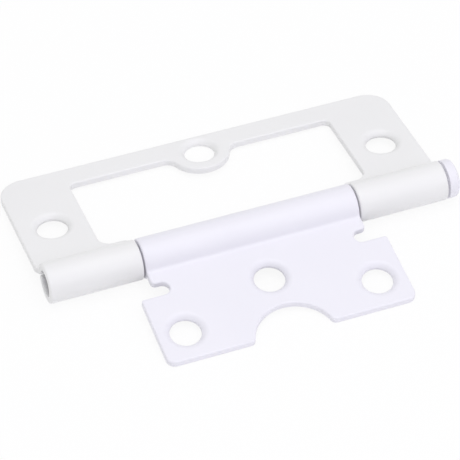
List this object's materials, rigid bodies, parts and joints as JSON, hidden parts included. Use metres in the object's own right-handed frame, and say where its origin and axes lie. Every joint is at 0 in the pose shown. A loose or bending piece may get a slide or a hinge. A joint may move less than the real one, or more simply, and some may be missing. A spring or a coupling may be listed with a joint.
{
  "type": "flush hinge",
  "caption": "White painted steel flush hinge: a cut-out leaf nests inside a windowed frame leaf, both rolled round one headed pin, with countersunk screw holes.",
  "frame": {"origin": "midway between the frame leaf's two end screw holes, on its seat face", "axes": "+X along the pin towards its head, +Y from the pin towards the frame leaf's back edge, +Z out of the frame leaf's countersunk face"},
  "size_m": [0.0776, 0.0514, 0.0095],
  "materials": {
    "frame_leaf_paint": "semi-gloss white paint on steel sheet",
    "centre_leaf_paint": "semi-gloss white paint on steel sheet",
    "pin_paint": "semi-gloss white paint on a turned steel pin"
  },
  "bodies": {
    "frame": {"frame_leaf": "frame_leaf_paint", "hinge_pin": "pin_paint"},
    "centre": {"centre_leaf": "centre_leaf_paint"}
  },
  "joints": [
    {"name": "pin_hinge", "type": "hinge", "parent": "frame", "child": "centre", "pos_m": [0, -0.014, 0.00063], "axis": [-1, 0, 0], "range_deg": [-76.65, 193.35]}
  ]
}
